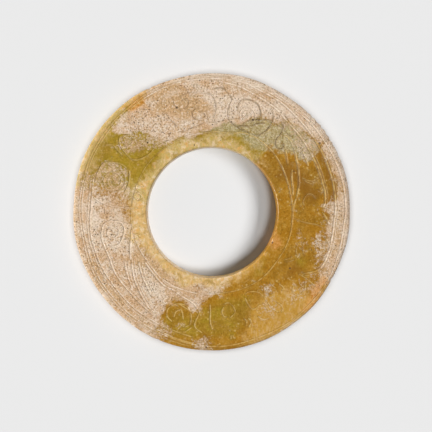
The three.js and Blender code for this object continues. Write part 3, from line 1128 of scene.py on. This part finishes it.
# Painted glow on the altered stone as well: it is lighter near the rim and the bore, and less so where it is
# chalky.
painted_edge_light = times(zone("painted_edge_glow"), calc("MULTIPLY_ADD", drifts, 1.0, 0.1))
painted_edge_light = times(painted_edge_light, calc("SUBTRACT", 1.0, zone("chalk")))
painted_edge_light_colour = blend(rise(grit, 0.45, 0.6), colour("d8b07a"), colour("ecd2b0"))
altered = layered(
    blend(rise(painted_edge_light, 0.0, 1.0, 0.75), altered, painted_edge_light_colour),
    (mottle, 0.51, 0.62, 0.62, "9c7a50"),
    (mottle, 0.47, 0.36, 0.6, "f0dfcb"),
)
body = blend(pale_share, sound, altered)

# %% Russet, lines, specks and pits
russet = blend(rise(grit, 0.40, 0.60), colour("c98536"), colour("e0a862"))
body = blend(rise(ragged_zone("rust", 0.5, begun=True), 0.15, 1.0, 0.75), body, russet)

tone = zone("tone")
line = zone("line")
# Painted shade: the walls of each cut are darkened, on top of the shading that the cut's own shape gets.
painted_groove_shade = times(rise(line, 0.04, 0.2), rise(line, 0.62, 0.34, 0.5))
body = blend(painted_groove_shade, body, blend(pale_share, colour("77561a"), colour("94744a")))
dust = times(rise(line, 0.15, 0.7), rise(tone, 0.0, 1.0))
earth = times(rise(line, 0.10, 0.8), rise(times(tone, -1.0), 0.0, 1.0))
uneven_fill = rise(noise(2.1, 3, 0.6, 0, 61), 0.34, 0.62)
dust_colour = blend(pale_share, colour("d6b46c"), colour("f2e0ca"))
body = blend(times(dust, uneven_fill, 0.7), body, dust_colour)
body = blend(times(earth, uneven_fill, 0.75), body, colour("735c38"))

clusters = rise(noise(4.5, 3, 0.6, 0, 71), 0.38, 0.58)
speckled = calc("MAXIMUM", times(pale_share, clusters), zone("bright"))
speckled = times(speckled, calc("SUBTRACT", 1.0, rise(line, 0.1, 0.6)))
dark_specks = times(calc("MAXIMUM", specks(0.85, 0.55), specks(0.6, 0.5, 29)), speckled)
speck_colour = blend(rise(blotches, 0.45, 0.55), colour("86643c"), colour("5e4626"))
body = blend(times(dark_specks, 0.85), body, speck_colour)
light_specks = times(specks(1.5, 0.2, 17), calc("SUBTRACT", 1.0, pale_share))
body = blend(times(light_specks, 0.45), body, colour("dcbf7e"))
pit = rise(zone("pit"), 0.05, 0.6)
body = blend(times(pit, 0.85), body, colour("4e3820"))
print("altered stone and stains made,", len(tree.nodes), "nodes")

# %% Polish and relief
roughness = plus(
    calc("MULTIPLY_ADD", pale_share, 0.24, 0.30), calc("MULTIPLY_ADD", flecks, 0.16, -0.08)
)
rough_cuts = times(calc("MAXIMUM", pit, rise(line, 0.1, 0.7)), 0.6)
roughness = calc("MAXIMUM", roughness, rough_cuts)
grain = times(plus(mottle, times(dark_specks, -0.8)), calc("MULTIPLY_ADD", pale_share, 0.9, 0.1))
scratches = noise(0.35, 2, 0.5, 0, 83, squeeze=(1, 0.08, 1), turned=24)
relief = plus(grain, times(scratches, 0.15))
bump = node("ShaderNodeBump", {"Strength": 0.8, "Distance": 0.00025, "Height": relief}).outputs[0]
shader = node(
    "ShaderNodeBsdfPrincipled",
    {
        "Base Color": body,
        "Roughness": roughness,
        "IOR": 1.6,
        "Specular IOR Level": 0.35,
        "Normal": bump,
        "Subsurface Weight": calc("MULTIPLY_ADD", pale_share, -0.12, 0.16),
        "Subsurface Radius": (1.0, 0.6, 0.2),
        "Subsurface Scale": 0.0015,
    },
)
node("ShaderNodeOutputMaterial", {"Surface": shader.outputs[0]})
disc_mesh.materials.append(jade)
print("weathered_nephrite has", len(tree.nodes), "nodes")

# %% Join the stone to the frame
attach(disc, "root")
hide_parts("jade_disc")

# %% [markdown]
# ## The floor, the light and the camera
#
# The disc lies on a plain pale table and is seen from almost straight above. A broad light
# from the left gives every cut a bright side and a dark one, and the rest is soft and even.
# The shadow in the bore falls the other way from the light on the cuts, which one set of
# lights can't do, so each light is linked to one thing: the disc, the floor, or a round of
# the same paper that lies on the floor under the bore.

# %% The floor
def flat_sheet(name, outline, height):
    """One flat face of the given outline at a height, in the paper's material."""
    mesh = bpy.data.meshes.new(name)
    mesh.from_pydata([(x, y, height) for x, y in outline], [], [tuple(range(len(outline)))])
    sheet = bpy.data.objects.new(name, mesh)
    bpy.context.scene.collection.objects.link(sheet)
    mesh.materials.append(paper)
    return sheet


paper = bpy.data.materials.new("pale_paper")
paper.use_nodes = True
paper_shader = paper.node_tree.nodes["Principled BSDF"]
paper_shader.inputs["Base Color"].default_value = colour("c8c8c8")
paper_shader.inputs["Roughness"].default_value = 0.9
paper_shader.inputs["Specular IOR Level"].default_value = 0.1
SIDE = 3.0
square = [(-SIDE, -SIDE), (SIDE, -SIDE), (SIDE, SIDE), (-SIDE, SIDE)]
floor = flat_sheet("floor", square, -0.1 * MM)
# The round reaches past the bore's edge by half its radius, with a corner each eighth column.
under_bore = (BORE_CENTRE + 1.5 * bore_front * ray[::8])[::-1]
inset = flat_sheet("floor_in_the_bore", under_bore.tolist(), -0.05 * MM)

# %% The lights
world = bpy.data.worlds.new("soft_surroundings")
bpy.context.scene.world = world
world.use_nodes = True
world.node_tree.nodes["Background"].inputs["Color"].default_value = colour("ffffff")
world.node_tree.nodes["Background"].inputs["Strength"].default_value = 0.12


def softbox(name, clock, height, distance, size, power, falls_on):
    """A light that faces the disc, from a clock angle, a height in degrees above the floor and a
    distance in metres. Its size is width and height in metres, and it lights only one thing."""
    light = bpy.data.lights.new(name, "AREA")
    light.shape = "RECTANGLE"
    light.size, light.size_y = size
    light.energy = power
    box = bpy.data.objects.new(name, light)
    around, up = math.radians(clock), math.radians(height)
    level = math.cos(up)
    box.location = distance * Vector((level * math.sin(around), level * math.cos(around), math.sin(up)))
    box.rotation_euler = (-box.location).to_track_quat("-Z", "Y").to_euler()
    bpy.context.scene.collection.objects.link(box)
    lit = bpy.data.collections.new("lit_by_" + name)
    lit.objects.link(falls_on)
    box.light_linking.receiver_collection = lit


softbox("key_from_the_left", 258, 30, 2.0, (0.6, 0.6), 42, disc)
softbox("fill_from_the_right", 70, 42, 2.0, (1.0, 1.0), 12, disc)
softbox("fill_from_the_top", 350, 40, 2.0, (1.0, 1.0), 15, disc)
softbox("over_the_floor", 0, 90, 2.0, (2.0, 2.0), 69, floor)
softbox("low_across_the_bore", 98, 29, 2.0, (1.6, 0.5), 73, inset)
softbox("high_across_the_bore", 135, 48, 2.0, (0.85, 0.6), 28, inset)

# %% The camera
# The lens and the sensor in millimetres, and the width of table that the picture takes in.
LENS = 85
SENSOR = 36
VIEW_WIDTH = 0.1704
camera_data = bpy.data.cameras.new("camera")
camera_data.lens = LENS
camera_data.sensor_width = SENSOR
camera_data.clip_start = 10 * MM
camera = bpy.data.objects.new("camera", camera_data)
looking_at = Vector((0.0017, -0.0013, THICKNESS))
CAMERA_TOWARDS_TOP = 0.016
camera_height = VIEW_WIDTH * LENS / SENSOR
camera.location = looking_at + Vector((0, CAMERA_TOWARDS_TOP, camera_height))
camera.rotation_euler = (-math.atan2(CAMERA_TOWARDS_TOP, camera_height), 0, 0)
bpy.context.scene.collection.objects.link(camera)
bpy.context.scene.camera = camera
bpy.context.scene.view_settings.view_transform = "Standard"
